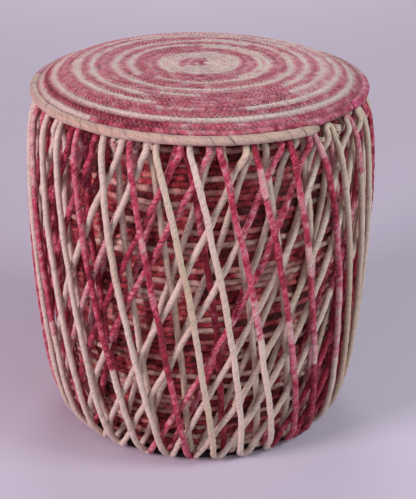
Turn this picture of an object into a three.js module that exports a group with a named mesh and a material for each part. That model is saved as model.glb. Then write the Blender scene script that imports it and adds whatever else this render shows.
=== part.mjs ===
// A handmade ottoman of wound and laced rope: a hollow woven barrel on a dark base board,
// two rounds of zigzag lacing over it, and a domed seat coiled from one long rope.
// Millimetres, +Z up, the front faces -Y, the origin is the centre of the underside.
import * as THREE from 'three';

// Driving sizes
const SEAT_TOP = 432.5;             // height of the seat's centre
const SEAT_RADIUS = 190;            // where the dome's own curve ends
const SEAT_DROP = 23.8;             // how far the dome has dropped at that radius
const DOME_POWER = 7;               // flat in the middle, turned down at the edge
const SEAT_TURNS = 22;              // turns of the seat's rope
const TURN_WIDTH = 8.75;            // from one turn to the next, measured along the dome
const SEAT_THICKNESS = 8.6;
const SEAM_DEPTH = 1.3;             // groove between two turns of the seat
const RIM_START = 62;               // degrees round from the front, where the thick rim cord begins
const RIM_RADIUS = 5.2;
const RIM_SPAN = 340;               // degrees from the rim cord's start to its end
const CORD_RADIUS = 3.6;            // lacing cord
const BASE_RADIUS = 153;
const BASE_THICKNESS = 4;
const WALL_THICKNESS = 7;
const WALL_ROWS = 59;
const WOVEN_TOP = 396;              // the rows end here, behind the seat's edge
const ROW_RELIEF = 1.4;             // groove between two rows of the wall
const WALL_TOP = 414.0;
const CLEARANCE = 0.3;              // between pieces that touch

// The barrel's outline at the outside of the lacing, from the foot loops up to the top loops
const BARREL = [
  { height: 7.9, radius: 164.6 },
  { height: 12.9, radius: 169.6 },
  { height: 27, radius: 179.5 },
  { height: 62, radius: 189.4 },
  { height: 120, radius: 196.6 },
  { height: 210, radius: 203.0 },
  { height: 300, radius: 204.3 },
  { height: 374, radius: 198.9 },
  { height: 390, radius: 194.0 },
  { height: 400.2, radius: 188.0 },
];
const LOOP_HALF_WIDTH = 5.2;        // half the width of a lacing loop, to the cord's centre

// How unevenly the cord was laid, in degrees: at the top loop, at the foot loop, and how far the
// falling and the rising strand bow sideways between them
const LAY = [
  { top: -1.1, foot: -0.4, fallBow: 1.9, riseBow: 1.5 },
  { top: -2.2, foot: 1.2, fallBow: 0.9, riseBow: 2.0 },
  { top: -1.0, foot: 1.6, fallBow: 0.3, riseBow: 1.0 },
  { top: 0.7, foot: -0.4, fallBow: 0.4, riseBow: 2.5 },
  { top: 1.1, foot: 0.6, fallBow: 3.0, riseBow: 0.5 },
  { top: -0.6, foot: -0.6, fallBow: 1.0, riseBow: -1.5 },
  { top: 1.0, foot: -1.1, fallBow: 0.0, riseBow: 1.5 },
  { top: 0.9, foot: -2.1, fallBow: -0.6, riseBow: 2.5 },
  { top: 0.0, foot: 0.3, fallBow: -1.5, riseBow: 2.8 },
  { top: 0.5, foot: -0.2, fallBow: -1.3, riseBow: 0.3 },
  { top: 0.2, foot: -1.0, fallBow: 0.0, riseBow: 3.0 },
  { top: -1.4, foot: -1.2, fallBow: 2.3, riseBow: 1.8 },
];

// Each round of lacing: loops round the top, how many loops the cord moves on each time it comes
// back up, the first loop's place, the lean of the falling strand from loop to loop, how far the
// loops, the falling strands and the rising strands lie inside the barrel's outline, and where a
// loop's corners are as shares of its half width
const OUTER_ROUND = {
  loops: 35, step: 8, first: -3.8, lean: 23.1, loopInset: 0, fallInset: 0, riseInset: 8.0, corners: [-0.6, 0.6],
};
const INNER_ROUND = {
  loops: 27, step: 5, first: -5.4, lean: 18.7, loopInset: 10.0, fallInset: 18.0, riseInset: 25.8, corners: [0],
};
const BOW_POWER = 0.7;              // below 1, a strand bows most in the first half of its way
const END_GAP = 0.1;                // a cord's two ends meet in one loop, this share from its middle
const WALL_INSET = 34.4;            // the wall's crests, inside the barrel's outline

const radians = THREE.MathUtils.degToRad;

// A point at an angle round from the front, positive to the right
function around(angle, radius, height) {
  const turn = radians(angle);
  return new THREE.Vector3(radius * Math.sin(turn), -radius * Math.cos(turn), height);
}

function barrelRadius(height) {
  const above = BARREL.findIndex((row) => row.height >= height);
  if (above <= 0) {
    return above === 0 ? BARREL[0].radius : BARREL[BARREL.length - 1].radius;
  }
  const low = BARREL[above - 1];
  const high = BARREL[above];
  const share = (height - low.height) / (high.height - low.height);
  return low.radius + share * (high.radius - low.radius);
}

// The dome as a curve from the centre outwards, measured along the rope's turns
const DOME_STEPS = 760;
const DOME_REACH = 194;
const dome = [{ along: 0, radius: 0, height: SEAT_TOP }];
for (let i = 1; i <= DOME_STEPS; i += 1) {
  const radius = DOME_REACH * i / DOME_STEPS;
  const height = SEAT_TOP - SEAT_DROP * (radius / SEAT_RADIUS) ** DOME_POWER;
  const last = dome[i - 1];
  const along = last.along + Math.hypot(radius - last.radius, height - last.height);
  dome.push({ along, radius, height });
}

// The dome's place at a distance along it, moved outwards and sunk square to its surface
function domePlace(along, outward = 0, sunk = 0) {
  const next = Math.max(1, dome.findIndex((place) => place.along >= along));
  const low = dome[next - 1];
  const high = dome[next];
  const span = high.along - low.along;
  const share = (along - low.along) / span;
  const across = (high.radius - low.radius) / span;
  const down = (low.height - high.height) / span;
  return {
    radius: low.radius + share * span * across + outward * across - sunk * down,
    height: low.height - share * span * down - outward * down - sunk * across,
  };
}

// A route whose own points are its steps, so that an extrusion keeps every bend
class Route extends THREE.Curve {
  constructor(points) {
    super();
    this.points = points;
  }

  getPoint(share, target = new THREE.Vector3()) {
    const place = share * (this.points.length - 1);
    const low = Math.min(Math.floor(place + 1e-9), this.points.length - 2);
    return target.lerpVectors(this.points[low], this.points[low + 1], place - low);
  }

  getPointAt(share, target) {
    return this.getPoint(share, target);
  }

  getTangentAt(share, target = new THREE.Vector3()) {
    const last = this.points.length - 1;
    const here = Math.round(share * last);
    const before = this.points[Math.max(0, here - 1)];
    const after = this.points[Math.min(last, here + 1)];
    const point = this.points[here];
    if (here > 0 && here < last) {
      const coming = point.clone().sub(before).normalize();
      return target.copy(after).sub(point).normalize().add(coming).normalize();
    }
    return target.copy(after).sub(before).normalize();
  }
}

function cordAlong(points, radius, sides) {
  const corners = [];
  for (let i = 0; i < sides; i += 1) {
    const turn = 2 * Math.PI * i / sides;
    corners.push(new THREE.Vector2(radius * Math.cos(turn), radius * Math.sin(turn)));
  }
  const section = new THREE.Shape(corners);
  const route = new Route(points);
  return new THREE.ExtrudeGeometry(section, { steps: points.length - 1, extrudePath: route, bevelEnabled: false });
}

// Lacing: the cord falls from a top loop to a foot loop, turns and rises to a top loop further round
function layOf(loop, loops) {
  const wrapped = loop % loops;
  const centred = wrapped > loops / 2 ? wrapped - loops : wrapped;
  return LAY[(centred + 2 * LAY.length) % LAY.length];
}

function strand(fromAngle, toAngle, bow, falling, round) {
  const inner = BARREL.slice(1, -1);
  const low = inner[0].height;
  const high = inner[inner.length - 1].height;
  const rows = falling ? [...inner].reverse() : inner;
  return rows.map((row) => {
    const passed = falling ? (high - row.height) / (high - low) : (row.height - low) / (high - low);
    const atEnd = row.height === low || row.height === high;
    const layer = falling ? round.fallInset : round.riseInset;
    const inset = CORD_RADIUS + (atEnd ? round.loopInset : layer);
    const bowed = bow * Math.sin(Math.PI * passed ** BOW_POWER);
    return around(fromAngle + passed * (toAngle - fromAngle) + bowed, row.radius - inset, row.height);
  });
}

function loopWidth(row, round) {
  return THREE.MathUtils.radToDeg(LOOP_HALF_WIDTH / (row.radius - CORD_RADIUS - round.loopInset));
}

function lacingRoute(round) {
  const spacing = 360 / round.loops;
  const backLoop = Math.round(round.loops / 2);
  const topRow = BARREL[BARREL.length - 1];
  const footRow = BARREL[0];
  const topAngle = (loop) => round.first + spacing * loop + layOf(loop, round.loops).top;
  const footAngle = (loop) => round.first + spacing * loop + round.lean + layOf(loop, round.loops).foot;
  const corner = (row, angle, share) => {
    const radius = row.radius - CORD_RADIUS - round.loopInset;
    return around(angle + share * loopWidth(row, round), radius, row.height);
  };
  const points = [];
  for (let pass = 0; pass < round.loops; pass += 1) {
    const loop = backLoop + pass * round.step;
    const top = topAngle(loop);
    const foot = footAngle(loop);
    const nextTop = topAngle(loop + round.step);
    const { fallBow, riseBow } = layOf(loop, round.loops);
    const topCorners = pass === 0 ? [END_GAP, ...round.corners.filter((share) => share > 0)] : round.corners;
    points.push(...topCorners.map((share) => corner(topRow, top, share)));
    const fallEnd = foot - loopWidth(footRow, round);
    const riseEnd = nextTop - loopWidth(topRow, round);
    points.push(...strand(top + loopWidth(topRow, round), fallEnd, fallBow, true, round));
    points.push(...round.corners.map((share) => corner(footRow, foot, share)));
    points.push(...strand(foot + loopWidth(footRow, round), riseEnd, riseBow, false, round));
  }
  const lastTop = topAngle(backLoop + round.loops * round.step);
  const lastCorners = [...round.corners.filter((share) => share < 0), -END_GAP];
  points.push(...lastCorners.map((share) => corner(topRow, lastTop, share)));
  return points;
}

// Woven wall: level rows in relief outside, plain inside
function wallOutside(height) {
  const lowest = BARREL[2].height;
  const highest = BARREL[BARREL.length - 3].height;
  const clamped = THREE.MathUtils.clamp(height, lowest, highest);
  return barrelRadius(clamped) - WALL_INSET;
}

function wovenWall() {
  const foot = BASE_THICKNESS + CLEARANCE;
  const rowHeight = (WOVEN_TOP - foot) / WALL_ROWS;
  const profile = [];
  for (let row = 0; row < WALL_ROWS; row += 1) {
    const low = foot + row * rowHeight;
    const middle = low + rowHeight / 2;
    profile.push(new THREE.Vector2(wallOutside(low) - ROW_RELIEF, low));
    profile.push(new THREE.Vector2(wallOutside(middle), middle));
  }
  profile.push(new THREE.Vector2(wallOutside(WOVEN_TOP) - ROW_RELIEF, WOVEN_TOP));
  profile.push(new THREE.Vector2(wallOutside(WALL_TOP) - ROW_RELIEF, WALL_TOP));
  const insideHeights = [WALL_TOP, 300, 120, foot];
  for (const height of insideHeights) {
    profile.push(new THREE.Vector2(wallOutside(height) - ROW_RELIEF - WALL_THICKNESS, height));
  }
  profile.push(profile[0].clone());
  const wall = new THREE.LatheGeometry(profile, 15);
  wall.rotateX(Math.PI / 2);
  return wall;
}

// Seat: a spiral of sewn turns. Its columns follow the spiral, so that crests and seams wind
// outwards, and the last turn ends in a cut face where the thick rim cord begins.
const SEAT_COLUMNS = 30;
const UNDERSIDE_RINGS = [176, 150, 60];

function spiralAngle(column) {
  return RIM_START + 360 * column / SEAT_COLUMNS;
}

// How far along the dome the spiral's first seam has wound at a column
function spiralStart(column) {
  const wound = (RIM_START + 360 * column / SEAT_COLUMNS) / 360;
  return TURN_WIDTH * wound;
}

function seatCoil() {
  const positions = [];
  const faces = [];
  const addPoint = (angle, place) => {
    const point = around(angle, place.radius, place.height);
    positions.push(point.x, point.y, point.z);
    return positions.length / 3 - 1;
  };
  const addFace = (a, b, c) => faces.push(a, b, c);
  const centre = addPoint(0, domePlace(0));
  const underCentre = addPoint(0, { radius: 0, height: SEAT_TOP - SEAT_THICKNESS });
  const halfTurns = 2 * (SEAT_TURNS - 1);

  // One column of the top: seams and crests by turns, from the innermost seam to the edge
  const columns = [];
  for (let column = 0; column <= SEAT_COLUMNS; column += 1) {
    const angle = spiralAngle(column);
    const crests = [];
    for (let step = 0; step <= halfTurns; step += 1) {
      const along = spiralStart(column) + step * TURN_WIDTH / 2;
      const seam = step % 2 === 0;
      const shared = column === SEAT_COLUMNS && step <= halfTurns - 2;
      crests.push(shared ? columns[0].crests[step + 2] : addPoint(angle, domePlace(along, 0, seam ? SEAM_DEPTH : 0)));
    }
    const edge = spiralStart(column) + halfTurns * TURN_WIDTH / 2;
    const lip = addPoint(angle, domePlace(edge, 0.5, 6.4));
    columns.push({ angle, crests, lip });
  }
  const rings = UNDERSIDE_RINGS.map((radius) => {
    const ring = [];
    for (let column = 0; column < SEAT_COLUMNS; column += 1) {
      const height = SEAT_TOP - SEAT_DROP * (radius / SEAT_RADIUS) ** DOME_POWER - SEAT_THICKNESS;
      ring.push(addPoint(columns[column].angle, { radius, height }));
    }
    return ring;
  });

  for (let column = 0; column < SEAT_COLUMNS; column += 1) {
    const here = columns[column];
    const next = columns[column + 1];
    addFace(centre, here.crests[0], next.crests[0]);
    for (let step = 0; step < halfTurns; step += 1) {
      addFace(here.crests[step], here.crests[step + 1], next.crests[step + 1]);
      addFace(here.crests[step], next.crests[step + 1], next.crests[step]);
    }
    addFace(here.crests[halfTurns], here.lip, next.lip);
    addFace(here.crests[halfTurns], next.lip, next.crests[halfTurns]);

    const after = (column + 1) % SEAT_COLUMNS;
    const outer = rings[0];
    addFace(here.lip, outer[column], outer[after]);
    if (after === 0) {
      addFace(here.lip, outer[0], columns[0].lip);
      addFace(here.lip, columns[0].lip, next.lip);
    } else {
      addFace(here.lip, outer[after], next.lip);
    }
    for (let ring = 1; ring < rings.length; ring += 1) {
      addFace(rings[ring - 1][column], rings[ring][column], rings[ring][after]);
      addFace(rings[ring - 1][column], rings[ring][after], rings[ring - 1][after]);
    }
    const last = rings[rings.length - 1];
    addFace(last[column], underCentre, last[after]);
  }

  // The spiral's start at the centre, and the cut face at its end
  const start = columns[0];
  const end = columns[SEAT_COLUMNS];
  addFace(centre, start.crests[2], start.crests[1]);
  addFace(centre, start.crests[1], start.crests[0]);
  addFace(start.lip, start.crests[halfTurns], end.crests[halfTurns - 1]);
  addFace(start.lip, end.crests[halfTurns - 1], end.crests[halfTurns]);
  addFace(start.lip, end.crests[halfTurns], end.lip);

  const seat = new THREE.BufferGeometry();
  seat.setAttribute('position', new THREE.Float32BufferAttribute(positions, 3));
  seat.setIndex(faces);
  seat.computeVertexNormals();
  return seat;
}

// Rim cord: it goes on along the spiral from the seat's cut end, its bends level with the seat's
function rimCord() {
  const startGap = 0.4;             // degrees between the seat's cut end and the cord
  const bend = 360 / SEAT_COLUMNS;
  const turns = [startGap];
  for (let turned = bend; turned < RIM_SPAN; turned += bend) {
    turns.push(turned);
  }
  turns.push(RIM_SPAN);
  const points = turns.map((turned) => {
    const edge = TURN_WIDTH * (SEAT_TURNS - 1 + (RIM_START + turned) / 360);
    const place = domePlace(edge, RIM_RADIUS + 0.45, 1.0);
    return around(RIM_START + turned, place.radius, place.height);
  });
  return cordAlong(points, RIM_RADIUS, 6);
}

function baseBoard() {
  const board = new THREE.CylinderGeometry(BASE_RADIUS, BASE_RADIUS, BASE_THICKNESS, 40);
  board.rotateX(Math.PI / 2);
  board.translate(0, 0, BASE_THICKNESS / 2);
  return board;
}

function piece(name, geometry, colour, roughness) {
  const mesh = new THREE.Mesh(geometry, new THREE.MeshStandardMaterial({ color: colour, roughness, metalness: 0 }));
  mesh.name = name;
  return mesh;
}

const ottoman = new THREE.Group();
ottoman.add(piece('base_board', baseBoard(), 0x1c191b, 0.8));
ottoman.add(piece('woven_wall', wovenWall(), 0x9a4a58, 0.9));
ottoman.add(piece('inner_lacing', cordAlong(lacingRoute(INNER_ROUND), CORD_RADIUS, 4), 0xb08a80, 0.85));
ottoman.add(piece('outer_lacing', cordAlong(lacingRoute(OUTER_ROUND), CORD_RADIUS, 5), 0xcdb8a8, 0.85));
ottoman.add(piece('seat_coil', seatCoil(), 0xc0627a, 0.85));
ottoman.add(piece('rim_cord', rimCord(), 0xcbb6a2, 0.8));

export default ottoman;
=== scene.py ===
# A handmade ottoman of wound and laced rope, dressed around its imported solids.
# Lengths are worked out in millimetres and written to the meshes in metres.
import math

import bpy
import numpy as np
from mathutils import Matrix, Vector


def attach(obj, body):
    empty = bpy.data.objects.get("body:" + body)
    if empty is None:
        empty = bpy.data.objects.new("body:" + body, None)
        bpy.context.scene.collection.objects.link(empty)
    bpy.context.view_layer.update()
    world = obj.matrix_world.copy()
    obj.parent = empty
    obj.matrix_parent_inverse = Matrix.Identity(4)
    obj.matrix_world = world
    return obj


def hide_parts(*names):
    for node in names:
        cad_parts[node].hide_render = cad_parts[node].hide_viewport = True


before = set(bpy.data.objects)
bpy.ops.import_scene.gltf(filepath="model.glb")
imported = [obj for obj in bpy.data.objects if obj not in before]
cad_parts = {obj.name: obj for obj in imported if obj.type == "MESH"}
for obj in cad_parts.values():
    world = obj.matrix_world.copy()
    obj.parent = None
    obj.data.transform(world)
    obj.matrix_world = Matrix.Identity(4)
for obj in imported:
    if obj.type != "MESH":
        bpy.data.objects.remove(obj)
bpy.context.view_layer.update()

MM = 0.001
TAU = 2 * math.pi

# Sizes that the solids share
SEAT_TOP = 432.5
SEAT_RADIUS = 190
SEAT_DROP = 23.8
DOME_POWER = 7
SEAT_TURNS = 22
TURN_WIDTH = 8.75
SEAT_THICKNESS = 8.6
RIM_START = 62
RIM_SPAN = 340
RIM_RADIUS = 5.2
CORD_RADIUS = 3.6
LOOP_HALF_WIDTH = 5.2
WALL_FOOT = 4.3
WALL_TOP = 414.0
WOVEN_TOP = 396
WALL_INSET = 34.4

# The barrel's outline at the outside of the lacing: height, radius
BARREL = np.array([
    (7.9, 164.6), (12.9, 169.6), (27, 179.5), (62, 189.4), (120, 196.6),
    (210, 203.0), (300, 204.3), (374, 198.9), (390, 194.0), (400.2, 188.0),
])

# How unevenly the cord was laid, in degrees: at the top loop, at the foot loop, and how far the
# falling and the rising strand bow sideways between them
LAY = [
    (-1.1, -0.4, 1.9, 1.5), (-2.2, 1.2, 0.9, 2.0), (-1.0, 1.6, 0.3, 1.0), (0.7, -0.4, 0.4, 2.5),
    (1.1, 0.6, 3.0, 0.5), (-0.6, -0.6, 1.0, -1.5), (1.0, -1.1, 0.0, 1.5), (0.9, -2.1, -0.6, 2.5),
    (0.0, 0.3, -1.5, 2.8), (0.5, -0.2, -1.3, 0.3), (0.2, -1.0, 0.0, 3.0), (-1.4, -1.2, 2.3, 1.8),
]
BOW_POWER = 0.7

# Each round of lacing: its loops, how many of them the cord moves on each time it comes back up, the
# first loop's angle, the falling strand's lean, and how deep the loops and the strands lie
OUTER_ROUND = {
    "loops": 35, "step": 8, "first": -3.8, "lean": 23.1,
    "loop_inset": 0.0, "fall_inset": 0.0, "rise_inset": 8.0,
}
INNER_ROUND = {
    "loops": 27, "step": 5, "first": -5.4, "lean": 18.7,
    "loop_inset": 10.0, "fall_inset": 18.0, "rise_inset": 25.8,
}
# Where a loop has its corners, and where the cord's two ends meet in the back loop, as shares of its
# half width from its middle
LOOP_CORNER = 0.6
END_GAP = 0.1
# The cord's radius as a share of its solid's, since its lumps stand out from it
CORD_SHARE = 0.99
# How far the cord's twist turns for each millimetre, in radians
CORD_TWIST = 0.21

# The wall's rows of rope and the upright stakes that they pass
WEFT_ROWS = 52
WALL_STAKES = 56
# One row from its foot to its top: height in rows from its middle, how far it bulges, its painted shade
ROW_PROFILE = [
    (-0.48, -0.1, 0.85), (-0.36, 0.55, 0.35), (-0.14, 0.95, 0.0), (0.14, 0.95, 0.0), (0.36, 0.55, 0.3),
]
# Behind the wall's crests: the middle of the rows, and the plain inside
ROW_DEPTH = 2.0
INSIDE_DEPTH = 8.4
# The radius at which lengths round the wall are measured
WALL_RADIUS = 165
# How far the fibres of a row lean from level
WALL_TWIST = math.radians(24)

# How strongly a length of fibre is dyed, and from where on it counts as dyed
CREAM = 0.0
PALE = 0.34
PINK = 0.62
HOT = 0.8
DEEP = 1.0
DYED_FROM = 0.2

# The dye of the strands that the photo shows, counted from the front loop of each round: the share
# of the barrel's height, from the top, where a length starts, and its dye
OUTER_FALLS = {
    -9: [(0, PALE), (0.4, PINK)],
    -8: [(0, CREAM)],
    -7: [(0, PALE), (0.22, PINK), (0.62, PALE), (0.7, CREAM)],
    -6: [(0, CREAM)],
    -5: [(0, CREAM)],
    -4: [(0, PINK), (0.35, HOT), (0.69, CREAM)],
    -3: [(0, CREAM)],
    -2: [(0, PINK), (0.3, HOT), (0.5, DEEP), (0.7, HOT)],
    -1: [(0, CREAM)],
    0: [(0, CREAM)],
    1: [(0, PINK), (0.03, HOT), (0.2, PINK), (0.38, HOT), (0.45, PALE), (0.575, CREAM)],
    2: [(0, HOT), (0.05, PALE), (0.12, PINK), (0.22, HOT), (0.53, PALE), (0.6, PINK)],
    3: [(0, HOT), (0.12, PINK), (0.3, PALE), (0.38, HOT), (0.55, PINK), (0.62, PALE), (0.72, DEEP)],
    4: [(0, PALE), (0.06, HOT), (0.25, PINK), (0.48, PALE), (0.75, CREAM)],
    5: [(0, CREAM)],
    6: [(0, PALE), (0.15, CREAM)],
    7: [(0, CREAM)],
    8: [(0, HOT), (0.3, PINK)],
    9: [(0, CREAM)],
}
OUTER_RISES = {
    -12: [(0, HOT)],
    -11: [(0, HOT), (0.4, DEEP)],
    -10: [(0, CREAM)],
    -9: [(0, CREAM), (0.25, PALE)],
    -8: [(0, PINK), (0.17, HOT), (0.35, DEEP), (0.6, HOT)],
    -7: [(0, PINK), (0.6, CREAM)],
    -6: [(0, CREAM)],
    -5: [(0, PINK), (0.25, CREAM)],
    -4: [(0, PINK)],
    -3: [(0, CREAM)],
    -2: [(0, CREAM)],
    -1: [(0, CREAM)],
    0: [(0, PINK), (0.5, CREAM)],
    1: [(0, CREAM), (0.45, DEEP)],
    2: [(0, PINK), (0.4, DEEP)],
    3: [(0, CREAM), (0.4, DEEP)],
    4: [(0, PALE), (0.5, HOT)],
}
INNER_FALLS = {
    -8: [(0, PINK)],
    -7: [(0, PALE), (0.5, HOT)],
    -6: [(0, HOT)],
    -5: [(0, PINK), (0.6, HOT)],
    -4: [(0, CREAM)],
    -3: [(0, HOT)],
    -2: [(0, CREAM)],
    -1: [(0, CREAM)],
    0: [(0, HOT), (0.3, DEEP)],
    1: [(0, CREAM)],
    2: [(0, CREAM)],
    3: [(0, CREAM), (0.35, PALE)],
    4: [(0, PALE), (0.5, DEEP)],
}
INNER_RISES = {
    -10: [(0, PINK)],
    -9: [(0, HOT)],
    -8: [(0, PALE)],
    -7: [(0, HOT), (0.5, PINK)],
    -6: [(0, PALE)],
    -5: [(0, PINK), (0.6, HOT)],
    -4: [(0, CREAM)],
    -3: [(0, CREAM)],
    -2: [(0, CREAM), (0.4, PINK)],
    -1: [(0, CREAM)],
    0: [(0, CREAM)],
    1: [(0, PINK)],
}
# The other strands, on the sides and the back, take one of these
OTHER_STRANDS = [
    [(0, CREAM)], [(0, PINK)], [(0, CREAM), (0.6, PALE)], [(0, HOT)],
    [(0, CREAM)], [(0, CREAM)], [(0, PALE), (0.4, PINK)],
]
# Falling strands of either round whose straw has gone duller than the rest, and by how much
DULL_FALLS = {-3: 0.25, -1: 0.55, 5: 0.2, 6: 0.3}

# Where the seat's rope changes colour, in turns from its centre
SEAT_RUNS = [
    (0.0, PINK), (1.15, CREAM), (1.4, PINK), (1.9, CREAM), (2.45, PINK), (2.85, CREAM), (5.9, PINK),
    (8.1, CREAM), (8.5, HOT), (8.88, CREAM), (9.85, PINK), (11.4, CREAM), (12.5, PINK), (12.93, PALE),
    (13.1, PINK), (13.94, CREAM), (14.0, PINK), (14.13, CREAM), (14.93, PINK), (15.36, PALE),
    (15.6, PINK), (16.12, CREAM), (16.95, PINK), (17.12, PALE), (17.4, PINK), (17.95, PALE),
    (18.01, PINK), (18.05, CREAM), (18.5, PINK), (19.33, CREAM), (20.5, PINK), (20.65, DEEP),
    (20.97, PINK), (21.3, PALE), (21.62, CREAM), (21.9, HOT), (21.98, PINK),
]
# Where the rim cord changes colour, in degrees from its start
RIM_RUNS = [
    (0, PINK), (5, HOT), (12, PINK), (34, PALE), (120, PINK), (150, PALE), (198, PINK), (204, CREAM),
]
# Turns of the seat at which its rope starts, and at which its stitches start and end
ROPE_START = 0.52
STITCH_START = 1.6
STITCH_END = SEAT_TURNS + 0.97
# Along the seat's rope from one pinch of the thread to the next, from one bulge of its twist to the
# next, and from one dash of painted shade along the grooves between its turns to the next
PINCH_PITCH = 6.0
TWIST_PITCH = 11.0
DASH_PITCH = 6.3
# Along a joint from one tip of the zigzag stitches to the next, on its other side
STITCH_STEP = 2.9
# Along the rim cord from one wrap to the next
RIM_WRAP = 20.5

# Where the rope was joined: angle, height, inset, turns of the binding, its width, dye
KNOTS = [
    (51.0, 395.5, 1.5, 3, 7, CREAM),
    (43.7, 388.0, 7.0, 2, 4, CREAM),
    (-28.3, 389.0, 8.0, 2, 5, PALE),
    (-15.6, 396.5, 3.0, 2, 5, CREAM),
    (13.8, 91.5, 4.6, 4, 12, CREAM),
    (148.0, 396.0, 2.0, 3, 7, PINK),
    (-112.0, 395.0, 2.0, 3, 7, CREAM),
    (201.0, 120.0, 4.6, 4, 11, PINK),
]
# Frayed ends: angle, height, inset, how many fibres, their length, how far they spread, dye
FRAYS = [
    (-27.0, 397.5, 3.0, 9, 17, 1.5, CREAM),
    (50.0, 391.0, 0.0, 8, 9, 0.9, CREAM),
    (69.0, 86.0, 5.0, 16, 38, 0.16, PINK),
    (-71.0, 60.0, 4.0, 7, 16, 0.3, HOT),
    (146.0, 392.0, 2.0, 10, 14, 0.7, PINK),
    (-113.0, 391.0, 2.0, 8, 12, 0.8, CREAM),
]
# Short ends tucked in at the wall: angle and height of one end, and of the other, dye
TUCKED = [
    (14.6, 126.5, 20.6, 137.5, CREAM),
    (14.4, 137.0, 18.6, 143.5, CREAM),
    (-152.0, 210.0, -146.0, 216.0, PINK),
]
# A binding's radius round its cord, and the radius of its own rope, of a frayed fibre and of a tucked
# end, which comes this far out of the wall
BINDING_REACH = 4.6
BINDING_RADIUS = 1.5
FIBRE_RADIUS = 0.75
TUCKED_RADIUS = 2.6
TUCKED_RISE = 3.4

# How fine the workings are: draws of a drift, points of a seat spiral before it is spaced evenly, and
# points between two corners of a lacing before it is
DRIFT_DRAWS = 4096
SPIRAL_STEPS = 20000
CURVE_STEPS = 12


def srgb(red, green, blue):
    """A colour from 0-255 values as Blender's linear one."""
    linear = [((c / 255 + 0.055) / 1.055) ** 2.4 if c > 10 else c / 3294 for c in (red, green, blue)]
    return (*linear, 1.0)


# Shades of the fibre from cream to the strongest dye: how strongly dyed, colour
CORD_DYES = [
    (0.0, srgb(228, 205, 191)), (0.15, srgb(226, 188, 182)), (0.36, srgb(224, 152, 162)),
    (0.62, srgb(212, 92, 118)), (0.82, srgb(192, 42, 78)), (1.0, srgb(134, 16, 38)),
]
RIM_DYES = [
    (0.0, srgb(210, 177, 162)), (0.2, srgb(208, 158, 152)), (0.4, srgb(208, 136, 152)),
    (0.65, srgb(208, 92, 132)), (0.82, srgb(200, 58, 106)), (1.0, srgb(140, 24, 56)),
]
SEAT_DYES = [
    (0.0, srgb(227, 204, 197)), (0.15, srgb(220, 176, 178)), (0.36, srgb(212, 134, 148)),
    (0.62, srgb(200, 88, 112)), (0.82, srgb(174, 46, 76)), (1.0, srgb(116, 22, 44)),
]
WALL_DYES = [
    (0.0, srgb(220, 180, 166)), (0.2, srgb(208, 138, 130)), (0.5, srgb(196, 54, 70)),
    (0.8, srgb(132, 20, 32)), (1.0, srgb(74, 10, 14)),
]
# What worn straw is multiplied by
STRAW_TINT = (0.80, 0.76, 0.60, 1)
# How far a crease across a rod moves on for each step round it, and how much the noise that draws it
# changes round the rod, against along it
CREASE_SLANT = 0.6
CREASE_ROUND = 0.25


def mesh_detail(full):
    return full


def around(angle, radius, height):
    """Points at angles round from the front, positive to the right."""
    turn = np.radians(angle)
    return np.stack([radius * np.sin(turn), -radius * np.cos(turn), height + 0 * turn], -1)


def drift(places, pitch, seed):
    """Smooth noise from -1 to 1 along a length, with a new value every pitch."""
    draws = np.random.default_rng(seed).uniform(-1, 1, DRIFT_DRAWS)
    place = np.asarray(places, float) / pitch
    whole = np.floor(place).astype(int)
    part = place - whole
    part = part * part * (3 - 2 * part)
    return draws[whole % DRIFT_DRAWS] * (1 - part) + draws[(whole + 1) % DRIFT_DRAWS] * part


def runs_at(runs, places, blur=0.0):
    """The dye at each place of a length, from a table of (start, dye), mixed with the dye at the
    blur's distance ahead."""
    starts = np.array([start for start, _ in runs])
    dyes = np.array([dye for _, dye in runs])

    def dye_at(place):
        return dyes[np.maximum(np.searchsorted(starts, place, side="right") - 1, 0)]

    return (dye_at(places) + dye_at(places + blur)) / 2


# Rods and their paths

def unit(vectors):
    """Vectors at a length of one."""
    return vectors / np.maximum(np.linalg.norm(vectors, axis=-1, keepdims=True), 1e-9)


def lengths(path):
    """How far along its path each point is."""
    steps = np.linalg.norm(np.diff(path, axis=0), axis=1)
    return np.concatenate([[0], np.cumsum(steps)])


def path_frame(path, lift):
    """Two directions square to a path: sideways, and lifted."""
    tangent = unit(np.gradient(path, axis=0))
    up = unit(lift - tangent * np.sum(lift * tangent, -1, keepdims=True))
    return np.cross(tangent, up), up


def ring_of(sides):
    """The angle of each side round a rod: 0 is sideways, and a quarter turn on is lifted."""
    return np.arange(sides) * TAU / sides


def sweep(path, lift, wide, tall, sides, relief=1.0):
    """A closed rod along a path, from its half width and half height: its points and its faces."""
    count = len(path)
    aside, up = path_frame(path, lift)
    ring = ring_of(sides)
    across = (np.asarray(wide).reshape(-1, 1) * np.cos(ring) * relief)[..., None] * aside[:, None, :]
    high = (np.asarray(tall).reshape(-1, 1) * np.sin(ring) * relief)[..., None] * up[:, None, :]
    points = (path[:, None, :] + across + high).reshape(-1, 3)
    row = np.arange(count - 1)[:, None] * sides
    here = (row + np.arange(sides)).ravel()
    beside = (row + np.roll(np.arange(sides), -1)).ravel()
    quads = np.stack([here, here + sides, beside + sides, beside], -1).tolist()
    start_cap = list(range(sides))
    end_cap = list(range(count * sides - 1, (count - 1) * sides - 1, -1))
    return points, quads + [start_cap, end_cap]


def blend(first, second, start, end, place):
    """A point between two others, as far as the place has come from start to end."""
    return (end - place) / (end - start) * first + (place - start) / (end - start) * second


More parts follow.
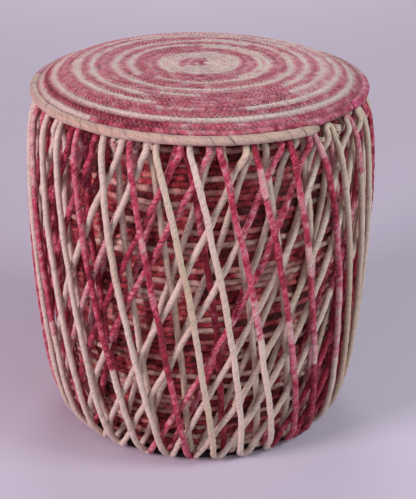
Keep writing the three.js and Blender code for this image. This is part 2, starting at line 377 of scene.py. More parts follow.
def smooth_path(corners, spacing):
    """A rounded path through corners, in even steps, and its length at each corner."""
    ends = np.vstack([2 * corners[0] - corners[1], corners, 2 * corners[-1] - corners[-2]])
    knots = np.concatenate([[0], np.cumsum(np.sqrt(np.linalg.norm(np.diff(ends, axis=0), axis=1)))])
    share = np.linspace(0, 1, CURVE_STEPS, endpoint=False)[:, None]
    parts = []
    for i in range(1, len(ends) - 2):
        before, start, end, after = knots[i - 1:i + 3]
        place = start + share * (end - start)
        first = blend(ends[i - 1], ends[i], before, start, place)
        second = blend(ends[i], ends[i + 1], start, end, place)
        third = blend(ends[i + 1], ends[i + 2], end, after, place)
        early = blend(first, second, before, end, place)
        late = blend(second, third, start, after, place)
        parts.append(blend(early, late, start, end, place))
    fine = np.vstack(parts + [corners[-1:]])
    run = lengths(fine)
    even = np.linspace(0, run[-1], int(run[-1] / spacing) + 1)
    path = np.stack([np.interp(even, run, fine[:, axis]) for axis in range(3)], -1)
    return path, run[::CURVE_STEPS]


def fibre_places(run, sides, radius, twist, stretch):
    """Two places for the noise at each point of a rod: one that follows its twist and is drawn out
    along it, and one that lies across it, slanting a little."""
    plain = ring_of(sides) + 0 * run[:, None]
    twisted = ring_of(sides) + (run * twist)[:, None]
    along = np.broadcast_to(run[:, None], plain.shape)
    fibre = np.stack([radius * np.cos(twisted), radius * np.sin(twisted), along / stretch], -1)
    # Counted from the rod's outer side, so that the slant's jump lies on its hidden inner side
    from_outside = (plain + math.pi / 2) % TAU - math.pi
    slanted = along + CREASE_SLANT * radius * from_outside
    near = CREASE_ROUND * radius
    cross = np.stack([near * np.cos(plain), near * np.sin(plain), slanted], -1)
    return fibre.reshape(-1, 3), cross.reshape(-1, 3)


def new_piece(name, points, faces, material, nodes, places, dye, worn=0.0, joint=0.0):
    """One piece of the visual model, standing for CAD nodes, with what its material reads."""
    mesh = bpy.data.meshes.new(name)
    mesh.from_pydata((np.asarray(points) * MM).tolist(), [], faces)
    mesh.polygons.foreach_set("use_smooth", np.ones(len(mesh.polygons), bool))
    count = len(mesh.vertices)
    for label, numbers in (("dye", dye), ("worn", worn), ("joint", joint)):
        layer = mesh.attributes.new(label, "FLOAT", "POINT")
        each = np.broadcast_to(np.asarray(numbers, np.float32).ravel(), count)
        layer.data.foreach_set("value", np.ascontiguousarray(each))
    for label, vectors in zip(("fibre", "cross"), places):
        layer = mesh.attributes.new(label, "FLOAT_VECTOR", "POINT")
        layer.data.foreach_set("vector", np.asarray(vectors, np.float32).ravel())
    mesh.materials.append(material)
    mesh.update()
    piece = bpy.data.objects.new(name, mesh)
    bpy.context.scene.collection.objects.link(piece)
    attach(piece, "root")
    if nodes:
        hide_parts(*nodes)


# Materials

class Look:
    """A node material with a few short calls."""

    def __init__(self, name, roughness):
        self.material = bpy.data.materials.new(name)
        self.material.use_nodes = True
        self.tree = self.material.node_tree
        self.shader = self.tree.nodes["Principled BSDF"]
        self.shader.inputs["Roughness"].default_value = roughness
        self.shader.inputs["Specular IOR Level"].default_value = 0.3

    def node(self, kind, settings=None, **inputs):
        """A node with its inputs given by name, or by number as _0, _1 and so on."""
        made = self.tree.nodes.new(kind)
        for key, value in (settings or {}).items():
            setattr(made, key, value)
        for key, value in inputs.items():
            socket = made.inputs[int(key[1:]) if key[0] == "_" else key]
            if isinstance(value, bpy.types.NodeSocket):
                self.tree.links.new(value, socket)
            else:
                socket.default_value = value
        return made

    def attribute(self, name, output):
        return self.node("ShaderNodeAttribute", {"attribute_name": name}).outputs[output]

    def object_place(self):
        return self.node("ShaderNodeTexCoord").outputs["Object"]

    def maths(self, operation, first, second, clamp=False):
        settings = {"operation": operation, "use_clamp": clamp}
        return self.node("ShaderNodeMath", settings, _0=first, _1=second).outputs[0]

    def times(self, first, second):
        return self.maths("MULTIPLY", first, second)

    def noise(self, vector, scale, detail, rough):
        sizes = {"Scale": scale, "Detail": detail, "Roughness": rough}
        return self.node("ShaderNodeTexNoise", Vector=vector, **sizes).outputs["Fac"]

    def ramp(self, value, stops):
        """A value's colour, from stops of (place, colour)."""
        made = self.node("ShaderNodeValToRGB", Fac=value)
        while len(made.color_ramp.elements) < len(stops):
            made.color_ramp.elements.new(0.5)
        for element, (place, colour) in zip(made.color_ramp.elements, stops):
            element.position = place
            element.color = colour
        return made.outputs["Color"]

    def spread(self, value, given, wanted):
        """Move a value from one range to another, held within it."""
        limits = {"From Min": given[0], "From Max": given[1], "To Min": wanted[0], "To Max": wanted[1]}
        return self.node("ShaderNodeMapRange", Value=value, **limits).outputs[0]

    def stain(self, colour, amount, tint):
        """Multiply a colour by a tint, as far as the amount says."""
        settings = {"data_type": "RGBA", "blend_type": "MULTIPLY"}
        return self.node("ShaderNodeMix", settings, _0=amount, _6=colour, _7=tint).outputs[2]

    def darken(self, colour, amount):
        """Multiply a colour by a grey value."""
        settings = {"operation": "SCALE"}
        return self.node("ShaderNodeVectorMath", settings, _0=colour, Scale=amount).outputs[0]

    def bump(self, height, strength, distance):
        made = self.node("ShaderNodeBump", Height=height, Strength=strength, Distance=distance)
        self.tree.links.new(made.outputs["Normal"], self.shader.inputs["Normal"])

    def colour(self, socket):
        self.tree.links.new(socket, self.shader.inputs["Base Color"])


def fibre_look(name, dyes, hatch, blotch, crease_shade_depth, shade=1.0, specks=0.0):
    """Twisted or wrapped plant fibre: slanting hatching, blotchy dye, slanting creases darkened by
    painted shade, and darkened joint lines.

    Point attributes drive it: dye, worn (towards straw), joint (darkening: painted shade in grooves
    and beside wrap edges, and the dark wrap edges themselves), and two places for the noise, fibre
    (follows the twist) and cross (lies across it). Hatch and blotch say how uneven the dye is, the
    next argument how deep the painted shade in the creases is, specks how dark the specks are, and
    shade how bright it is as a whole."""
    look = Look(name, roughness=0.62)
    fibre = look.attribute("fibre", "Vector")
    cross = look.attribute("cross", "Vector")
    dye = look.attribute("dye", "Fac")
    place = look.object_place()
    hatching = look.noise(fibre, scale=0.5, detail=4.0, rough=0.68)
    blotches = look.noise(place, scale=115.0, detail=3.0, rough=0.6)
    creases = look.noise(cross, scale=0.5, detail=3.0, rough=0.65)
    # Undyed fibre varies less
    uneven = look.times(look.maths("SUBTRACT", hatching, 0.5), hatch)
    patchy = look.times(look.maths("SUBTRACT", blotches, 0.5), blotch)
    freedom = look.spread(dye, (0.0, 0.4), (0.17, 1.0))
    moved = look.times(look.maths("ADD", uneven, patchy), freedom)
    colour = look.ramp(look.maths("ADD", dye, moved, clamp=True), dyes)
    colour = look.stain(colour, look.attribute("worn", "Fac"), STRAW_TINT)
    # Painted shade in the creases, which lie where their noise is low, and show most where the dye is
    # strong
    shaded_crease = look.spread(creases, (0.47, 0.36), (0.0, 1.0))
    shaded_crease = look.times(shaded_crease, look.spread(dye, (0.0, 0.5), (crease_shade_depth * 0.45, crease_shade_depth)))
    tone = look.spread(hatching, (0.3, 0.7), (0.72 * shade, 1.14 * shade))
    # The same noise breaks up the joints
    broken = look.spread(creases, (0.62, 0.42), (0.25, 1.0))
    # Where the joint attribute is high the colour is darkened: painted shade in grooves, and dark wrap
    # edges
    joint = look.times(look.attribute("joint", "Fac"), broken)
    light = look.times(tone, look.maths("SUBTRACT", 1.0, shaded_crease))
    light = look.times(light, look.maths("SUBTRACT", 1.0, joint, clamp=True))
    if specks:
        grit = look.noise(place, scale=420.0, detail=1.0, rough=0.5)
        light = look.times(light, look.spread(grit, (0.62, 0.7), (1.0, 1.0 - specks)))
    look.colour(look.darken(colour, light))
    look.bump(look.maths("SUBTRACT", hatching, look.times(shaded_crease, 0.8)), strength=0.8, distance=0.0008)
    look.shader.inputs["Sheen Weight"].default_value = 0.12
    look.shader.inputs["Sheen Roughness"].default_value = 0.5
    return look.material


# Seat

# The seat's dome as a curve from its centre, measured along the rope's turns
DOME_RADII = np.linspace(0, 200, 4001)
DOME_HEIGHTS = SEAT_TOP - SEAT_DROP * (DOME_RADII / SEAT_RADIUS) ** DOME_POWER
DOME_ALONG = np.concatenate([[0], np.cumsum(np.hypot(np.diff(DOME_RADII), np.diff(DOME_HEIGHTS)))])


def dome_place(along, outward=0.0, sunk=0.0):
    """Radius and height at a distance along the dome, moved outwards and sunk square to it."""
    radius = np.interp(along, DOME_ALONG, DOME_RADII)
    height = np.interp(along, DOME_ALONG, DOME_HEIGHTS)
    slope = np.arctan(SEAT_DROP * DOME_POWER / SEAT_RADIUS * (radius / SEAT_RADIUS) ** (DOME_POWER - 1))
    across, down = np.cos(slope), np.sin(slope)
    return radius + outward * across - sunk * down, height - outward * down - sunk * across


def dome_lift(along, angle):
    """The direction square to the dome."""
    here = around(angle, *dome_place(along))
    above = around(angle, *dome_place(along, sunk=-1.0))
    return unit(above - here)


def spiral(first, last, spacing, inwards=0.0, sunk=0.0):
    """Even steps along the seat's spiral, moved inwards by a share of a turn: how far along each
    step is, and at how many turns."""
    coarse = np.linspace(first, last, SPIRAL_STEPS)
    run = lengths(around(coarse * 360, *dome_place(TURN_WIDTH * (coarse - inwards), sunk=sunk)))
    even = np.linspace(0, run[-1], int(run[-1] / spacing))
    return even, np.interp(even, run, coarse)


def seat_rope():
    """The seat's sewn turns, as one rope wound outwards from the middle."""
    sides = 10
    half = SEAT_THICKNESS / 2
    last_turn = SEAT_TURNS + RIM_START / 360
    even, turns = spiral(ROPE_START, last_turn, mesh_detail(2.1), inwards=0.5, sunk=half)
    middle = TURN_WIDTH * (turns - 0.5)
    rise = 0.35 * drift(even, pitch=26, seed=11)
    path = around(turns * 360, *dome_place(middle, sunk=half + rise))
    lift = dome_lift(middle, turns * 360)
    ring = ring_of(sides)
    # Drawn in at the stitches, twisted, lumpy, and pressed towards a square by its neighbours
    pinch = 0.05 * np.cos(TAU * even / PINCH_PITCH)[:, None] * np.abs(np.cos(ring))
    twist = 0.035 * np.cos(2 * ring + TAU * even[:, None] / TWIST_PITCH)
    lumps = 0.03 * drift(even, pitch=9, seed=12)[:, None]
    square = (np.abs(np.cos(ring)) ** 3 + np.abs(np.sin(ring)) ** 3) ** (-1 / 3) * 0.97
    relief = square * (1 + pinch + twist + lumps)
    # Half as wide where it starts, and then a little wider than its turn, so that the joints close
    grow = np.clip(0.5 + (turns - 0.5) / 1.5, 0, 1)
    points, faces = sweep(path, lift, 0.52 * TURN_WIDTH * grow, half, sides, relief)
    dye = runs_at(SEAT_RUNS, turns, blur=0.01)
    uneven = 0.12 * drift(even, pitch=33, seed=13) + 0.1 * drift(even, pitch=8, seed=14)
    dye = np.clip(dye + uneven * np.where(dye > DYED_FROM, 1, 0.3), 0, 1)
    # Painted shade in the grooves between the turns, on the rope's sides: in dashes and in places, more
    # on the outer turns
    groove_shade_patches = 0.7 * drift(even, pitch=47, seed=15) + 0.5 * drift(even, pitch=5, seed=16)
    groove_shade = np.clip(0.25 + 0.5 * turns / last_turn + groove_shade_patches, 0.1, 1.1)
    dashes = 0.6 + 0.8 * np.clip(np.cos(TAU * even / DASH_PITCH) + 0.3, 0, 1)
    joint = np.abs(np.cos(ring)) ** 3 * (groove_shade * dashes)[:, None]
    places = fibre_places(even, sides, radius=4.4, twist=0.35, stretch=3.0)
    look = fibre_look("seat_rope_look", SEAT_DYES, hatch=1.7, blotch=1.7, crease_shade_depth=0.5, specks=0.45)
    new_piece("seat_rope", points, faces, look, ["seat_coil"], places,
              dye=np.repeat(dye, sides), joint=joint)


def alternating(first, second):
    """One array from two, with an item of each in turn, that starts and ends with the first's."""
    both = np.empty((len(first) + len(second),) + first.shape[1:])
    both[0::2] = first
    both[1::2] = second
    return both


def seat_stitches():
    """Zigzag thread over every joint between two turns."""
    sides = 4
    thread = 0.4
    even, turns = spiral(STITCH_START, STITCH_END, STITCH_STEP)
    seam = TURN_WIDTH * (turns - 1)
    side = np.where(np.arange(len(even)) % 2 == 0, 1.0, -1.0)
    reach = 2.9 + 0.9 * drift(even, pitch=3.0, seed=21) + 0.5 * drift(even, pitch=40.0, seed=24)
    # Against the rim the outer tips sink into the joint
    at_rim = turns > SEAT_TURNS + RIM_START / 360
    reach = np.where(at_rim & (side > 0), 0.2, reach)
    tips = around(turns * 360, *dome_place(seam + side * reach, sunk=-0.25))
    shift = 0.9 * drift(even, pitch=4.0, seed=22)
    tips[:, 0] += shift * np.cos(np.radians(turns * 360))
    tips[:, 1] += shift * np.sin(np.radians(turns * 360))
    # Each zigzag leg also has a point half way, lower, where it crosses the joint
    halves = (turns[:-1] + turns[1:]) / 2
    middles = around(halves * 360, *dome_place(TURN_WIDTH * (halves - 1), sunk=0.35))
    path = alternating(tips, middles)
    turned = alternating(turns, halves)
    lift = dome_lift(TURN_WIDTH * (turned - 1), turned * 360)
    points, faces = sweep(path, lift, thread, thread, sides)
    # Thread of nearly the same dye as the turn it lies on
    on_outer = np.tile([1.0, 0.5, 0.0, 0.5], len(even))[:len(path)]
    beneath = on_outer * runs_at(SEAT_RUNS, turned) + (1 - on_outer) * runs_at(SEAT_RUNS, turned - 1)
    dye = np.clip(0.04 + 0.54 * beneath + 0.2 * drift(lengths(path), pitch=22, seed=23), 0, 0.6)
    places = fibre_places(lengths(path), sides, radius=0.5, twist=0.0, stretch=3.0)
    look = fibre_look("stitch_look", SEAT_DYES, hatch=0.5, blotch=0.5, crease_shade_depth=0.0, shade=1.12)
    new_piece("seat_stitches", points, faces, look, [], places, dye=np.repeat(dye, sides))


def rim_rope():
    """The thick last turn, wrapped smooth, with slanting wrap edges."""
    sides = 20
    # It starts and ends just inside its solid
    turned = np.linspace(0.4, RIM_SPAN - 2.5, mesh_detail(1150))
    angle = RIM_START + turned
    edge = TURN_WIDTH * (SEAT_TURNS - 1 + angle / 360)
    path = around(angle, *dome_place(edge, outward=RIM_RADIUS + 0.45, sunk=1.0))
    run = lengths(path)
    ring = ring_of(sides)
    phase = run[:, None] / RIM_WRAP + ring / TAU + 0.25 * drift(run, pitch=RIM_WRAP, seed=31)[:, None]
    wrap = phase - np.floor(phase)
    edge_line = np.exp(-((wrap - 0.5) / 0.045) ** 2)
    lumps = 0.04 * drift(run, pitch=13, seed=32)[:, None]
    relief = 1 + 0.04 * (wrap - 0.5) - 0.06 * edge_line + lumps
    # Thinner over its last 16 mm
    taper = np.clip((run[-1] - run) / 16, 0, 1) ** 0.5
    thick = RIM_RADIUS * (0.55 + 0.45 * taper)
    points, faces = sweep(path, dome_lift(edge, angle), thick, thick, sides, relief)
    dye = np.clip(runs_at(RIM_RUNS, turned, blur=2) + 0.06 * drift(run, pitch=40, seed=33), 0, 1)
    # The wrap's edges show as dark lines, with a band of painted shade beside each
    clear = np.clip(0.65 + 0.75 * drift(run, pitch=26, seed=34), 0.1, 1.2)
    joint = edge_line * clear[:, None] + 0.1 * (wrap < 0.5)
    # Darker and yellower towards the right, as the straw tint grows there
    worn = np.clip(0.28 + path[:, 0] / 500 + 0.3 * drift(run, pitch=70, seed=35), 0, 1)
    worn = worn * np.where(dye > 0.3, 0.2, 1)
    places = fibre_places(run, sides, radius=5.0, twist=0.05, stretch=6.0)
    look = fibre_look("rim_rope_look", RIM_DYES, hatch=1.2, blotch=1.2, crease_shade_depth=0.3, shade=0.96,
                      specks=0.3)
    new_piece("rim_rope", points, faces, look, ["rim_cord"], places,
              dye=np.repeat(dye, sides), worn=np.repeat(worn, sides), joint=joint)


# Lacing

def barrel(height):
    """The barrel's radius at a height."""
    return np.interp(height, BARREL[:, 0], BARREL[:, 1])


def lay_of(loop, loops):
    """How a loop was laid, and its number counted from the front loop, above 0 to the right."""
    wrapped = loop % loops
    centred = wrapped - loops if wrapped > loops / 2 else wrapped
    return LAY[centred % len(LAY)], centred


def lace(plan, rng):
    """The corners that a round's cord passes, from the back loop all the way round, and the number
    of the strand that each belongs to: the even ones fall, the odd ones rise."""
    loops, step = plan["loops"], plan["step"]
    apart = 360 / loops
    heights = BARREL[1:-1, 0]
    low, high = heights[0], heights[-1]
    foot_row, top_row = BARREL[0], BARREL[-1]
    loop_inset = CORD_RADIUS + plan["loop_inset"]
    top_half = math.degrees(LOOP_HALF_WIDTH / (top_row[1] - loop_inset))
    foot_half = math.degrees(LOOP_HALF_WIDTH / (foot_row[1] - loop_inset))
    corners = []
    numbers = []

    def top_angle(loop):
        return plan["first"] + apart * loop + lay_of(loop, loops)[0][0]

    def foot_angle(loop):
        return plan["first"] + apart * loop + plan["lean"] + lay_of(loop, loops)[0][1]

    def loop_corner(row, angle, number):
        corners.append(around(angle, row[1] - loop_inset, row[0]))
        numbers.append(number)

    def strand(start, end, bow, number):
        falling = number % 2 == 0
        for height in (heights[::-1] if falling else heights):
            at_end = height in (low, high)
            passed = (high - height) / (high - low) if falling else (height - low) / (high - low)
            inset = plan["fall_inset"] if falling else plan["rise_inset"]
            if at_end:
                inset = plan["loop_inset"]
            sway = 0.22 * rng.uniform(-1, 1) * (not at_end)
            angle = start + passed * (end - start) + bow * math.sin(math.pi * passed ** BOW_POWER) + sway
            corners.append(around(angle, barrel(height) - CORD_RADIUS - inset, height))
            numbers.append(number)

    back = round(loops / 2)
    for turn in range(loops):
        fall = 2 * turn
        rise = fall + 1
        loop = back + turn * step
        top = top_angle(loop)
        foot = foot_angle(loop)
        after = top_angle(loop + step)
        fall_bow, rise_bow = lay_of(loop, loops)[0][2:]
        loop_corner(top_row, top + (END_GAP if turn == 0 else -LOOP_CORNER) * top_half, fall)
        loop_corner(top_row, top + LOOP_CORNER * top_half, fall)
        strand(top + top_half, foot - foot_half, fall_bow, fall)
        loop_corner(foot_row, foot - LOOP_CORNER * foot_half, fall)
        loop_corner(foot_row, foot + LOOP_CORNER * foot_half, rise)
        strand(foot + foot_half, after - top_half, rise_bow, rise)
    last = top_angle(back + loops * step)
    loop_corner(top_row, last - LOOP_CORNER * top_half, 2 * loops - 1)
    loop_corner(top_row, last - END_GAP * top_half, 2 * loops - 1)
    return np.array(corners), np.array(numbers)


def strand_colours(plan, falls, rises, strand_of, depth):
    """The dye and the dullness of each point, from the number of its strand and its depth."""
    loops, step = plan["loops"], plan["step"]
    back = round(loops / 2)
    dye = np.zeros(len(depth))
    dull = np.zeros(len(depth))
    for number in range(2 * loops):
        rising = number % 2
        centred = lay_of(back + number // 2 * step, loops)[1]
        other = OTHER_STRANDS[(3 * centred + rising) % len(OTHER_STRANDS)]
        here = strand_of == number
        dye[here] = runs_at((rises if rising else falls).get(centred, other), depth[here])
        if not rising:
            dull[here] = DULL_FALLS.get(centred, 0.0)
    return dye, dull


def lacing(name, plan, falls, rises, node, material, seed, spacing, sides):
    """One round of lacing as its rope, with a dye table for each strand."""
    corners, numbers = lace(plan, np.random.default_rng(seed))
    path, corner_run = smooth_path(corners, spacing)
    run = lengths(path)
    # The corner that each point of the path has passed last, and how far down the barrel it is
    corner_run = corner_run * run[-1] / corner_run[-1]
    passed = np.clip(np.searchsorted(corner_run, run, side="right") - 1, 0, len(corners) - 1)
    foot, top = BARREL[1, 0], BARREL[-2, 0]
    depth = (top - path[:, 2]) / (top - foot) + 0.02 * drift(run, pitch=6, seed=seed + 3)
    dye, dull = strand_colours(plan, falls, rises, numbers[passed], depth)
    # Each strand wanders a little to either side
    wander = 0.9 * drift(run, pitch=38, seed=seed + 5) + 0.5 * drift(run, pitch=15, seed=seed + 6)
    aside, _ = path_frame(path, path * (1, 1, 0))
    path = path + wander[:, None] * aside
    twist = 0.045 * np.cos(2 * (ring_of(sides) + CORD_TWIST * run[:, None]))
    lumps = 0.07 * drift(run, pitch=17, seed=seed) + 0.045 * drift(run, pitch=6, seed=seed + 1)
    thick = CORD_RADIUS * CORD_SHARE
    points, faces = sweep(path, path * (1, 1, 0), thick, thick, sides, 1 + twist + lumps[:, None])
    dyed = dye > DYED_FROM
    dye = np.clip(dye + 0.12 * drift(run, pitch=24, seed=seed + 2) * np.where(dyed, 1, 0.35), 0, 1)
    # Darker and yellower towards the right, as the straw tint grows there
    worn = np.clip(0.1 + path[:, 0] / 600 + dull + 0.3 * drift(run, pitch=90, seed=seed + 4), 0, 0.9)
    worn = worn * np.where(dyed, 0.4, 1)
    places = fibre_places(run, sides, radius=3.5, twist=0.36, stretch=6.0)
    new_piece(name, points, faces, material, [node], places,
              dye=np.repeat(dye, sides), worn=np.repeat(worn, sides))


# Woven wall

def woven_wall():
    """Level rows of rope, each over and under upright stakes, on a plain inside."""
    pitch = (WOVEN_TOP - WALL_FOOT) / WEFT_ROWS
    columns = mesh_detail(360)
    turn = np.arange(columns) * 360 / columns
    along = np.radians(turn) * WALL_RADIUS
    foot_level, top_level = BARREL[2, 0], BARREL[-3, 0]
    rings = []
    dyes = []
    painted_shades = []
    for row in range(WEFT_ROWS):
        light_row = row % 2 == 0
        # A light row and the dark one above it sway together
        middle = WALL_FOOT + (row + 0.5) * pitch + 0.7 * drift(along, pitch=70, seed=500 + row // 2)
        over = np.cos(np.radians(turn * WALL_STAKES) + math.pi * row)
        uneven = drift(along, pitch=13, seed=400 + row)
        stands_out = 2.2 + 1.5 * over + 0.6 * uneven + (0.5 if light_row else -0.2)
        dye = (0.1 if light_row else 0.78) + 0.3 * drift(along, pitch=48, seed=600 + row)
        if not light_row:
            # Painted light and shade: paler on the key-lit left of the front, darker to the right
            dye = dye + 0.14 * np.sin(np.radians(turn))
        # In places a row is of the other colour
        changed = drift(along, pitch=62, seed=700 + row) - (0.2 if light_row else 0.45)
        dye = np.clip(dye + 0.6 * np.clip(4 * changed, 0, 1) * (1 if light_row else -1), 0, 1)
        # Each ring of a row takes the profile's painted shade: deepest in the groove at the row's foot,
        # some on its flanks
        for place, bulge, shade in ROW_PROFILE:
            height = middle + place * pitch
            outline = barrel(np.clip(height, foot_level, top_level))
            rings.append(around(turn, outline - WALL_INSET - ROW_DEPTH + bulge * stands_out, height))
            dyes.append(dye)
            painted_shades.append(np.full(columns, shade))
    # The upper edge and the plain inside
    inside = [
        (WALL_TOP, top_level, ROW_DEPTH),
        (WALL_TOP, top_level, INSIDE_DEPTH),
        (WALL_FOOT, foot_level, INSIDE_DEPTH),
    ]
    for height, level, depth in inside:
        rings.append(around(turn, barrel(level) - WALL_INSET - depth, height))
        dyes.append(np.full(columns, CREAM))
        painted_shades.append(np.zeros(columns))
    points = np.vstack(rings)
    ring = np.arange(len(rings))[:, None] * columns
    above = np.roll(ring, -1, axis=0)
    here = np.arange(columns)
    beside = np.roll(here, -1)
    faces = np.stack([ring + here, ring + beside, above + beside, above + here], -1)
    faces = faces.reshape(-1, 4).tolist()
    along = np.tile(along, len(rings))
    upward = points[:, 2]
    with_fibre = along * math.cos(WALL_TWIST) + upward * math.sin(WALL_TWIST)
    over_fibre = upward * math.cos(WALL_TWIST) - along * math.sin(WALL_TWIST)
    fibre = np.stack([with_fibre / 5, over_fibre, 0 * along], -1)
    cross = np.stack([along, upward * 0.4, 0 * along], -1)
    look = fibre_look("wall_look", WALL_DYES, hatch=1.6, blotch=1.2, crease_shade_depth=0.5)
    new_piece("wall_weave", points, faces, look, ["woven_wall"], (fibre, cross),
              dye=np.concatenate(dyes), joint=np.concatenate(painted_shades))


# Bindings, frayed and tucked ends

def loose_ends():
    """Bindings, frayed fibres and tucked ends, all as one piece."""
    rng = np.random.default_rng(seed=80)
    upwards = np.array([0, 0, 1.0])
    points = []
    faces = []
    dyes = []
    fibres = []
    crosses = []

    def add(path, lift, thick, sides, dye):
        start = sum(len(part) for part in points)
        made, found = sweep(path, lift, thick, thick, sides)
        fibre, cross = fibre_places(lengths(path), sides, radius=1.5, twist=0.3, stretch=3.0)
        points.append(made)
        faces.extend([[corner + start for corner in face] for face in found])
        dyes.append(np.clip(dye + 0.1 * rng.uniform(-1, 1, len(made)), 0, 1))
        fibres.append(fibre)
        crosses.append(cross)

    def outside(angle, height, inset):
        """A cord's middle at a place on the barrel, and the direction outwards there."""
        angle = np.array(angle)
        return around(angle, barrel(height) - CORD_RADIUS - inset, height), around(angle, 1.0, 0.0)

    for angle, height, inset, turns, width, dye in KNOTS:
        middle, outward = outside(angle, height, inset)
        # Wound round a cord that leans a little
        axis = unit(upwards + 0.25 * np.cross(upwards, outward))
        aside = np.cross(axis, outward)
        step = np.linspace(0, turns * TAU, 14 * turns)[:, None]
        wobble = 1 + 0.08 * rng.uniform(-1, 1, step.shape)
        ring = BINDING_REACH * wobble * (np.cos(step) * outward + np.sin(step) * aside)
        path = middle + ring + axis * (step / (turns * TAU) - 0.5) * width
        add(path, np.broadcast_to(axis, path.shape), BINDING_RADIUS, 6, dye)
    for angle, height, inset, count, length, spread, dye in FRAYS:
        root, outward = outside(angle, height, inset)
        aside = np.cross(upwards, outward)
        along = np.linspace(0, 1, 6)[:, None]
        thick = FIBRE_RADIUS * (1.15 - along.ravel())
        for _ in range(count):
            swerve = rng.uniform(-1, 1) * aside + rng.uniform(0, 0.6) * outward
            heading = unit(spread * swerve - upwards)
            bend = 0.15 * length * (rng.uniform(-1, 1) * aside - rng.uniform(0, 0.6) * upwards)
            begin = root + rng.uniform(-1.6, 1.6) * aside + rng.uniform(-1, 1) * outward
            path = begin + heading * length * rng.uniform(0.6, 1.0) * along + bend * along ** 2
            add(path, np.broadcast_to(outward, path.shape), thick, 4, dye)
    for first, low, second, high, dye in TUCKED:
        share = np.linspace(0, 1, 14)
        angle = first + (second - first) * share
        height = low + (high - low) * share
        # It comes out of the wall, bends over and goes back in
        radius = barrel(height) - WALL_INSET + TUCKED_RISE * np.sin(math.pi * share) - 0.8
        path = around(angle, radius, height)
        thick = TUCKED_RADIUS * np.sin(math.pi * (0.12 + 0.76 * share)) ** 0.5
        add(path, path * (1, 1, 0), thick, 8, dye)
    look = fibre_look("loose_look", CORD_DYES, hatch=1.4, blotch=1.2, crease_shade_depth=0.4, shade=0.95)
    places = (np.vstack(fibres), np.vstack(crosses))
    new_piece("loose_ends", np.vstack(points), faces, look, [], places,
              dye=np.concatenate(dyes), worn=0.5)


# Base board

def base_look():
    """Near-black board with a faint grain for the CAD foot, which keeps its shape."""
    look = Look("base_board_look", roughness=0.7)
    stretched = look.node("ShaderNodeMapping", Vector=look.object_place(), Scale=(4, 60, 40)).outputs[0]
    grain = look.noise(stretched, scale=6.0, detail=4.0, rough=0.6)
    look.colour(look.ramp(grain, [(0.3, srgb(24, 20, 21)), (0.7, srgb(52, 44, 44))]))
    look.bump(grain, strength=0.3, distance=0.0004)
    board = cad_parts["base_board"]
    board.material_slots[0].material = look.material


# All pieces

seat_rope()
seat_stitches()
rim_rope()
cord_look = fibre_look("cord_look", CORD_DYES, hatch=1.9, blotch=1.5, crease_shade_depth=0.6)
lacing("outer_rope", OUTER_ROUND, OUTER_FALLS, OUTER_RISES, "outer_lacing", cord_look,
       seed=40, spacing=mesh_detail(3.2), sides=10)
lacing("inner_rope", INNER_ROUND, INNER_FALLS, INNER_RISES, "inner_lacing", cord_look,
       seed=60, spacing=mesh_detail(3.8), sides=8)
woven_wall()
loose_ends()
base_look()


# Floor, light and camera

# Each light: name, place, what it points at, size, power, colour, with its lengths in metres
LIGHTS = [
    ("key_light", (-2.5, -1.8, 1.6), (0, 0, 0.2), 1.3, 91, (1.0, 0.85, 0.9)),
    ("fill_light", (1.8, -2.3, 1.6), (0, 0, 0.1), 2.2, 22, (0.82, 0.98, 1.0)),
    ("back_light", (-0.1, 3.7, 2.1), (0.0, 2.3, 0.0), 2.2, 58, (0.98, 1.0, 1.0)),
    ("top_light", (1.6, -0.7, 1.6), (0.5, -0.3, 0.0), 0.9, 23, (0.9, 1.0, 1.0)),
]
# From the floor's middle to its edges, in metres
FLOOR_REACH = 6
# The camera's place in metres and its angles in radians
CAMERA_PLACE = (0.0, -1.416, 0.8403)
CAMERA_PITCH = 0.4255
CAMERA_YAW = -0.0069
CAMERA_ROLL = -0.0104
# The lens: its focal length and the photo's longer side in pixels, and the sensor's side in mm
FOCAL_PIXELS = 1278
PHOTO_HEIGHT = 499
SENSOR = 36


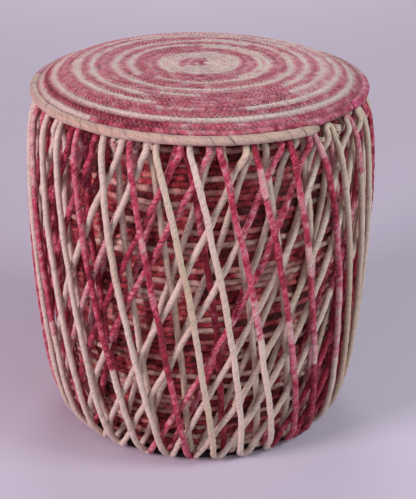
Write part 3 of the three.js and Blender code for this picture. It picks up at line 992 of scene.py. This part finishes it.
def floor():
    mesh = bpy.data.meshes.new("floor")
    corners = [(FLOOR_REACH * x, FLOOR_REACH * y, 0) for x, y in ((-1, -1), (1, -1), (1, 1), (-1, 1))]
    mesh.from_pydata(corners, [], [(0, 1, 2, 3)])
    look = Look("floor_look", roughness=0.9)
    look.shader.inputs["Base Color"].default_value = srgb(204, 192, 212)
    mesh.materials.append(look.material)
    piece = bpy.data.objects.new("floor", mesh)
    bpy.context.scene.collection.objects.link(piece)


def soft_light(name, place, target, size, power, colour):
    lamp = bpy.data.lights.new(name, "AREA")
    lamp.shape = "DISK"
    lamp.size = size
    lamp.energy = power
    lamp.color = colour
    holder = bpy.data.objects.new(name, lamp)
    holder.rotation_euler = (Vector(target) - Vector(place)).to_track_quat("-Z", "Y").to_euler()
    holder.location = place
    bpy.context.scene.collection.objects.link(holder)


def photo_camera():
    """The camera that the photo's outline and seat rings fit."""
    right = np.array([math.cos(CAMERA_YAW), math.sin(CAMERA_YAW), 0])
    ahead = np.array([-math.sin(CAMERA_YAW), math.cos(CAMERA_YAW), 0])
    upright = np.array([0, 0, 1])
    gaze = math.cos(CAMERA_PITCH) * ahead - math.sin(CAMERA_PITCH) * upright
    over = math.sin(CAMERA_PITCH) * ahead + math.cos(CAMERA_PITCH) * upright
    side = math.cos(CAMERA_ROLL) * right - math.sin(CAMERA_ROLL) * over
    top = math.sin(CAMERA_ROLL) * right + math.cos(CAMERA_ROLL) * over
    lens = bpy.data.cameras.new("photo_camera")
    lens.sensor_width = SENSOR
    lens.lens = FOCAL_PIXELS / PHOTO_HEIGHT * SENSOR
    lens.clip_end = 50
    holder = bpy.data.objects.new("photo_camera", lens)
    rows = [(side[i], top[i], -gaze[i], CAMERA_PLACE[i]) for i in range(3)]
    holder.matrix_world = Matrix(rows + [(0, 0, 0, 1)])
    bpy.context.scene.collection.objects.link(holder)
    bpy.context.scene.camera = holder


floor()
for light in LIGHTS:
    soft_light(*light)
photo_camera()

world = bpy.data.worlds.new("studio")
world.use_nodes = True
world.node_tree.nodes["Background"].inputs["Color"].default_value = (1.0, 1.0, 1.0, 1)
world.node_tree.nodes["Background"].inputs["Strength"].default_value = 0.12
bpy.context.scene.world = world
bpy.context.scene.view_settings.view_transform = "Standard"
